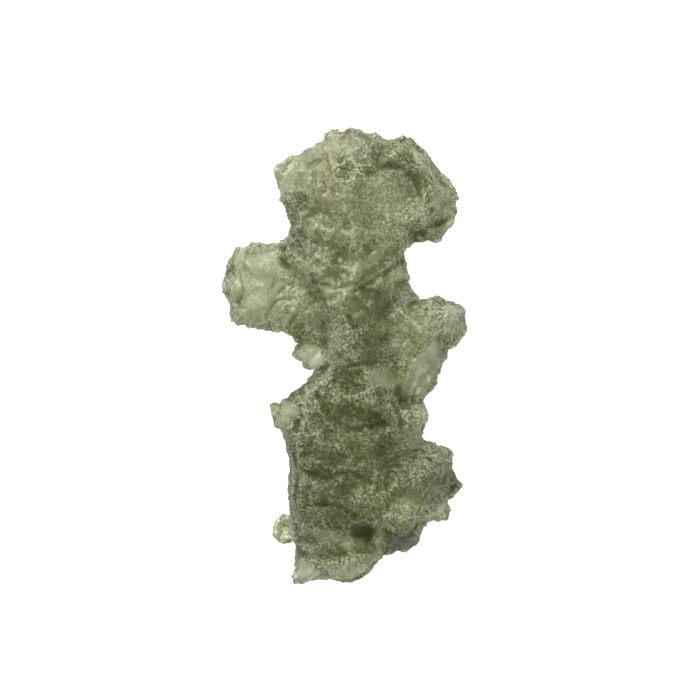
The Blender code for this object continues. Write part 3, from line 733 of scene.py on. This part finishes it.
def thin_out(piece, most):
    """Leaves at most that many triangles."""
    there = sum(len(face.vertices) - 2 for face in piece.data.polygons)
    thin = piece.modifiers.new("thin out", "DECIMATE")
    thin.ratio = min(1.0, most / there)
    only(piece)
    bpy.ops.object.modifier_apply(modifier=thin.name)


def new_group(name, inputs, outputs):
    """A shader node group with its named inputs, each with a kind and a default, and its outputs."""
    group = bpy.data.node_groups.new(name, "ShaderNodeTree")
    for label, kind, default in inputs:
        socket = group.interface.new_socket(label, in_out="INPUT", socket_type=kind)
        if default is not None:
            socket.default_value = default
    for label, kind in outputs:
        group.interface.new_socket(label, in_out="OUTPUT", socket_type=kind)
    return group, group.nodes.new("NodeGroupInput"), group.nodes.new("NodeGroupOutput")


def math_node(nodes, links, kind, first, second):
    """A math node of that kind on two sockets or numbers. Gives its output."""
    node = nodes.new("ShaderNodeMath")
    node.operation = kind
    for socket, value in zip(node.inputs, (first, second)):
        if isinstance(value, bpy.types.NodeSocket):
            links.new(value, socket)
        else:
            socket.default_value = value
    return node.outputs[0]


def cells(nodes, links, place, scale):
    """Round bowls packed side by side: 0 in the middle of each, rising to about 0.7 on the crests between."""
    node = nodes.new("ShaderNodeTexVoronoi")
    links.new(place, node.inputs["Vector"])
    links.new(scale, node.inputs["Scale"])
    return node.outputs["Distance"]


def cloud(nodes, links, place, scale, detail):
    """A soft noise between 0 and 1."""
    node = nodes.new("ShaderNodeTexNoise")
    node.inputs["Detail"].default_value = detail
    links.new(place, node.inputs["Vector"])
    links.new(scale, node.inputs["Scale"])
    return node.outputs["Fac"]


def ramp(nodes, links, value, low, high, out_low, out_high):
    """The value, turned evenly from the range low to high into the range out_low to out_high."""
    node = nodes.new("ShaderNodeMapRange")
    links.new(value, node.inputs["Value"])
    for label, number in zip(("From Min", "From Max", "To Min", "To Max"), (low, high, out_low, out_high)):
        node.inputs[label].default_value = number
    return node.outputs["Result"]


def etched_grain_group():
    """The finest etching: bowls of two sizes and points. Gives its height, its roughness and its shade, which
    is random speckle and painted shade in the bowls' bottoms.
    """
    group, source, result = new_group(
        "etched grain",
        [
            ("Place", "NodeSocketVector", None),
            ("Rough", "NodeSocketFloat", 1.0),
            ("Scale", "NodeSocketFloat", 4000.0),
            ("Polish", "NodeSocketFloat", 0.2),
            ("Satin", "NodeSocketFloat", 0.3),
            ("Shade", "NodeSocketFloat", 0.3),
        ],
        [("Height", "NodeSocketFloat"), ("Roughness", "NodeSocketFloat"), ("Shade", "NodeSocketFloat")],
    )
    nodes, links = group.nodes, group.links
    place, scale, rough = (source.outputs[label] for label in ("Place", "Scale", "Rough"))
    small_scale = math_node(nodes, links, "MULTIPLY", scale, SMALL_SCALE)
    point_scale = math_node(nodes, links, "MULTIPLY", scale, POINT_SCALE)
    patch_scale = math_node(nodes, links, "MULTIPLY", scale, PATCH_SCALE)
    big = cells(nodes, links, place, scale)
    small = cells(nodes, links, place, small_scale)
    patches = ramp(nodes, links, cloud(nodes, links, place, patch_scale, 2.0), 0.35, 0.65, 0.35, 1.05)
    points = cloud(nodes, links, place, point_scale, 3.0)
    height = math_node(nodes, links, "ADD", big, math_node(nodes, links, "MULTIPLY", small, SMALL_HEIGHT))
    point_height = math_node(nodes, links, "MULTIPLY", points, POINT_HEIGHT)
    height = math_node(nodes, links, "ADD", height, point_height)
    height = math_node(nodes, links, "MULTIPLY", height, patches)
    height = math_node(nodes, links, "MULTIPLY", height, rough)
    links.new(height, result.inputs["Height"])
    span = math_node(nodes, links, "SUBTRACT", source.outputs["Satin"], source.outputs["Polish"])
    satin = math_node(nodes, links, "MULTIPLY", rough, span)
    links.new(math_node(nodes, links, "ADD", satin, source.outputs["Polish"]), result.inputs["Roughness"])
    # Painted shade in the bottoms of the bowls
    bottom_shade = ramp(nodes, links, height, 0.05, 0.6, 1.0, 0.0)
    contrast = math_node(nodes, links, "MULTIPLY", patches, ramp(nodes, links, rough, 0.35, 0.95, 0.6, 1.6))
    speckle = ramp(nodes, links, points, 0.45, 0.55, 0.5, -0.5)
    speckle = math_node(nodes, links, "MULTIPLY", speckle, contrast)
    speckle = math_node(nodes, links, "ADD", speckle, 0.5)
    bottom_shade = math_node(nodes, links, "MULTIPLY", bottom_shade, 1.0 - POINT_SHADE)
    dark = math_node(nodes, links, "MULTIPLY", speckle, POINT_SHADE)
    dark = math_node(nodes, links, "ADD", dark, bottom_shade)
    dark = math_node(nodes, links, "MULTIPLY", dark, ramp(nodes, links, rough, 0.0, 1.0, 0.45, 1.0))
    dark = math_node(nodes, links, "MULTIPLY", dark, source.outputs["Shade"])
    links.new(dark, result.inputs["Shade"])
    return group


def attribute_socket(nodes, name):
    """The values that the skin's points have under that name."""
    node = nodes.new("ShaderNodeAttribute")
    node.attribute_name = name
    return node.outputs["Fac"]


def tinted(nodes, links, colour, tint, share):
    """The colour, turned towards a tint by a share between 0 and 1."""
    mix = nodes.new("ShaderNodeMix")
    mix.data_type = "RGBA"
    links.new(share, mix.inputs["Factor"])
    links.new(colour, mix.inputs["A"])
    mix.inputs["B"].default_value = tint
    return mix.outputs["Result"]


def light_lost_group():
    """How the skin takes light away. Turns its three shades, which hold painted shade, and its paleness,
    which holds some painted highlights, into its colour.
    """
    group, source, result = new_group(
        "light lost in the skin",
        [(label, "NodeSocketFloat", 0.0) for label in (*PALE_SHARES, "Pale")],
        [("Colour", "NodeSocketColor")],
    )
    nodes, links = group.nodes, group.links
    left = 1.0
    for label, share in PALE_SHARES.items():
        cleared = math_node(nodes, links, "MULTIPLY", source.outputs["Pale"], share)
        uncleared = math_node(nodes, links, "SUBTRACT", 1.0, cleared)
        shade = math_node(nodes, links, "MULTIPLY", source.outputs[label], uncleared)
        kept = math_node(nodes, links, "SUBTRACT", 1.0, shade)
        left = math_node(nodes, links, "MULTIPLY", kept, left)
    ramp_node = nodes.new("ShaderNodeValToRGB")
    stops = ramp_node.color_ramp.elements
    (_, darkest), *between, (_, lightest) = LIGHT_LEFT
    stops[0].color = darkest
    stops[1].color = lightest
    for position, colour in between:
        stops.new(position).color = colour
    links.new(left, ramp_node.inputs["Fac"])
    links.new(ramp_node.outputs["Color"], result.inputs["Colour"])
    return group


def glass_material(settings):
    """Green glass that takes light away with its depth, under an etched and stained skin whose colour holds
    painted shade and highlights.
    """
    material = bpy.data.materials.new("etched natural glass")
    material.use_nodes = True
    nodes, links = material.node_tree.nodes, material.node_tree.links
    shader = nodes["Principled BSDF"]
    shader.inputs["Metallic"].default_value = 0.0
    shader.inputs["IOR"].default_value = settings.refraction
    shader.inputs["Transmission Weight"].default_value = settings.clearness
    place = nodes.new("ShaderNodeTexCoord")
    grain = nodes.new("ShaderNodeGroup")
    grain.node_tree = etched_grain_group()
    grain.inputs["Scale"].default_value = 1.0 / settings.grain_width
    grain.inputs["Polish"].default_value = settings.polish
    grain.inputs["Satin"].default_value = settings.satin
    grain.inputs["Shade"].default_value = settings.shade
    links.new(place.outputs["Object"], grain.inputs["Place"])
    links.new(attribute_socket(nodes, "rough"), grain.inputs["Rough"])
    clay_and_glint, rust = attribute_socket(nodes, "clay_and_glint"), attribute_socket(nodes, "rust")
    lost = nodes.new("ShaderNodeGroup")
    lost.node_tree = light_lost_group()
    links.new(grain.outputs["Shade"], lost.inputs["Pits"])
    for label, name, share in (
        ("Bands and Shade", "dark", settings.band_and_shade),
        ("Hollow Shade", "hollow", settings.hollow),
        ("Pale", "pale", settings.pale),
    ):
        mark = attribute_socket(nodes, name)
        links.new(math_node(nodes, links, "MULTIPLY", mark, share), lost.inputs[label])
    colour = tinted(nodes, links, lost.outputs["Colour"], (*settings.rust, 1.0), rust)
    colour = tinted(nodes, links, colour, (*settings.clay_and_glint, 1.0), clay_and_glint)
    links.new(colour, shader.inputs["Base Color"])
    bump = nodes.new("ShaderNodeBump")
    bump.inputs["Strength"].default_value = 1.0
    bump.inputs["Distance"].default_value = settings.grain_depth
    links.new(grain.outputs["Height"], bump.inputs["Height"])
    links.new(bump.outputs["Normal"], shader.inputs["Normal"])
    links.new(grain.outputs["Roughness"], shader.inputs["Roughness"])
    depth = nodes.new("ShaderNodeVolumeAbsorption")
    depth.inputs["Color"].default_value = (*settings.glass, 1.0)
    depth.inputs["Density"].default_value = settings.density
    links.new(depth.outputs["Volume"], nodes["Material Output"].inputs["Volume"])
    return material


class MOLDAVITE_OT_stone(bpy.types.Operator):
    """Models the etched stone on its solid"""

    bl_idname = "moldavite.stone"
    bl_label = "Etched stone"

    def execute(self, context):
        settings = context.scene.moldavite_stone
        piece = coarse_copy(STONE, settings)
        etch(piece, settings)
        thin_out(piece, settings.triangles)
        piece.data.shade_smooth()
        piece.data.materials.clear()
        piece.data.materials.append(glass_material(settings))
        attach(piece, "root")
        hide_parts(STONE)
        return {"FINISHED"}


def floor_material(settings):
    """A dull floor that glows a little, so that it stays white below the stone."""
    material = bpy.data.materials.new("pale floor")
    material.use_nodes = True
    shader = material.node_tree.nodes["Principled BSDF"]
    shader.inputs["Base Color"].default_value = (*settings.floor, 1.0)
    shader.inputs["Roughness"].default_value = 0.9
    shader.inputs["Specular IOR Level"].default_value = 0.0
    shader.inputs["Emission Color"].default_value = (*settings.light, 1.0)
    shader.inputs["Emission Strength"].default_value = settings.floor_glow
    return material


def add_light(name, place, width, power, colour):
    """A round soft light that faces the stone."""
    bpy.ops.object.light_add(type="AREA", location=place)
    light = bpy.context.object
    light.name = name
    light.data.shape = "DISK"
    light.data.size = width
    light.data.energy = power
    light.data.color = colour
    light.rotation_euler = (-place).to_track_quat("-Z", "Y").to_euler()


class MOLDAVITE_OT_stage(bpy.types.Operator):
    """Adds the floor, the light and the camera"""

    bl_idname = "moldavite.stage"
    bl_label = "Stage"

    def execute(self, context):
        settings = context.scene.moldavite_stage
        bpy.ops.mesh.primitive_plane_add(size=settings.floor_width, location=(0.0, 0.0, -FLOOR_GAP))
        floor = context.object
        floor.name = "floor"
        floor.data.materials.append(floor_material(settings))
        world = bpy.data.worlds.new("room")
        world.use_nodes = True
        backdrop = world.node_tree.nodes["Background"]
        backdrop.inputs["Color"].default_value = (*settings.light, 1.0)
        backdrop.inputs["Strength"].default_value = settings.sky
        context.scene.world = world
        for name, place, power in (
            ("key light", settings.key_place, settings.key_power),
            ("fill light", settings.fill_place, settings.fill_power),
        ):
            add_light(name, Vector(place), settings.lamp_width, power, settings.lamp)
        height = settings.picture_width * settings.lens / SENSOR_WIDTH
        above = Vector(settings.picture_centre) + Vector((0.0, 0.0, height))
        bpy.ops.object.camera_add(location=above, rotation=(0.0, 0.0, 0.0))
        camera = context.object
        camera.data.lens = settings.lens
        camera.data.sensor_width = SENSOR_WIDTH
        camera.data.clip_start = MM
        context.scene.camera = camera
        context.scene.view_settings.view_transform = "Standard"
        return {"FINISHED"}


class MOLDAVITE_PT_panel(bpy.types.Panel):
    """Lists the stone's settings and steps"""

    bl_idname = "MOLDAVITE_PT_panel"
    bl_label = "Moldavite"
    bl_space_type = "VIEW_3D"
    bl_region_type = "UI"
    bl_category = "Moldavite"

    def draw(self, context):
        for operator, settings in (
            (MOLDAVITE_OT_stone, context.scene.moldavite_stone),
            (MOLDAVITE_OT_stage, context.scene.moldavite_stage),
        ):
            box = self.layout.box()
            for name in settings.bl_rna.properties.keys():
                if name not in ("rna_type", "name"):
                    box.prop(settings, name)
            box.operator(operator.bl_idname)


CLASSES = (StoneSettings, StageSettings, MOLDAVITE_OT_stone, MOLDAVITE_OT_stage, MOLDAVITE_PT_panel)


def register():
    for item in CLASSES:
        bpy.utils.register_class(item)
    bpy.types.Scene.moldavite_stone = bpy.props.PointerProperty(type=StoneSettings)
    bpy.types.Scene.moldavite_stage = bpy.props.PointerProperty(type=StageSettings)


def unregister():
    del bpy.types.Scene.moldavite_stage
    del bpy.types.Scene.moldavite_stone
    for item in reversed(CLASSES):
        bpy.utils.unregister_class(item)


def main():
    register()
    bpy.ops.moldavite.stone()
    bpy.ops.moldavite.stage()


if __name__ == "__main__":
    main()
